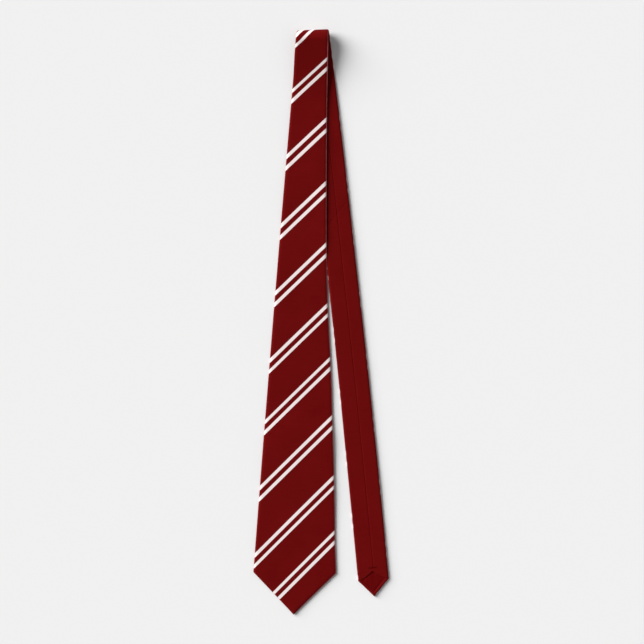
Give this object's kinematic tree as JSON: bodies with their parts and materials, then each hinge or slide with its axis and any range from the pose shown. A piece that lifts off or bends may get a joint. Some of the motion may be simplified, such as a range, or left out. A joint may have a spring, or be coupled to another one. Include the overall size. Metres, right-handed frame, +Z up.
{
  "type": "necktie",
  "caption": "Long pointed necktie with diagonal paired stripes, folded over once at the neck and laid flat with its plain-backed tail beside the wide blade.",
  "frame": {"origin": "centre of the folded tie's bounding box, on the surface it lies on", "axes": "+Y along the tie from the points to the fold, +X to the tail's side, +Z up off the surface"},
  "size_m": [0.1634, 0.7054, 0.0214],
  "materials": {
    "striped_silk": "matt satin twill, dark red, white paired diagonal stripes on its front",
    "keeper_silk": "plain dark red twill",
    "tipping": "smooth dark red lining",
    "interlining": "brushed off-white wool",
    "thread": "twisted dark red thread",
    "label": "blank woven ribbon"
  },
  "bodies": {
    "tail_upper": {"neck_shell": "striped_silk", "tail_shell_body": "striped_silk", "interlining_neck": "interlining", "slip_stitch_neck": "thread"},
    "tail_end": {"tail_shell_tip": "striped_silk", "interlining_tail_tip": "interlining", "slip_stitch_tail_tip": "thread", "tail_tipping": "tipping", "tail_bar_tack": "thread"},
    "neck": {"fold_shell_lower": "striped_silk", "interlining_fold_lower": "interlining", "slip_stitch_fold_lower": "thread"},
    "blade_upper": {"fold_shell_upper": "striped_silk", "blade_shell_body": "striped_silk", "interlining_fold_upper": "interlining", "interlining_blade_body": "interlining", "slip_stitch_fold_upper": "thread", "slip_stitch_blade_body": "thread"},
    "blade_end": {"blade_shell_tip": "striped_silk", "interlining_blade_tip": "interlining", "slip_stitch_blade_tip": "thread", "blade_tipping": "tipping", "blade_bar_tack": "thread", "keeper_tack_left": "thread", "keeper_tack_right": "thread", "care_label": "label", "label_stitch_top": "thread", "label_stitch_bottom": "thread"},
    "keeper": {"keeper_band": "keeper_silk"}
  },
  "joints": [
    {"name": "legs_spread", "type": "hinge", "parent": "tail_upper", "child": "neck", "pos_m": [0.01216, 0.33139, 0.0034], "axis": [0, 0, -1], "range_deg": [0, 10]},
    {"name": "fold_open", "type": "hinge", "parent": "neck", "child": "blade_upper", "pos_m": [-0.00936, 0.35263, 0.0107], "axis": [-0.9993, -0.0373, 0], "range_deg": [0, 179.5]},
    {"name": "blade_fold", "type": "hinge", "parent": "blade_upper", "child": "blade_end", "pos_m": [-0.02659, -0.04282, 0.00739], "axis": [-0.9995, 0.0305, 0.0006], "range_deg": [0, 179.5]},
    {"name": "tail_fold", "type": "hinge", "parent": "tail_upper", "child": "tail_end", "pos_m": [0.03738, -0.04177, 0.01], "axis": [-0.9945, -0.105, 0], "range_deg": [0, 179.5]},
    {"name": "keeper_open", "type": "slide", "parent": "blade_end", "child": "keeper", "axis": [-0.0003, 0.009, -1], "range_m": [0, 0.005]}
  ]
}
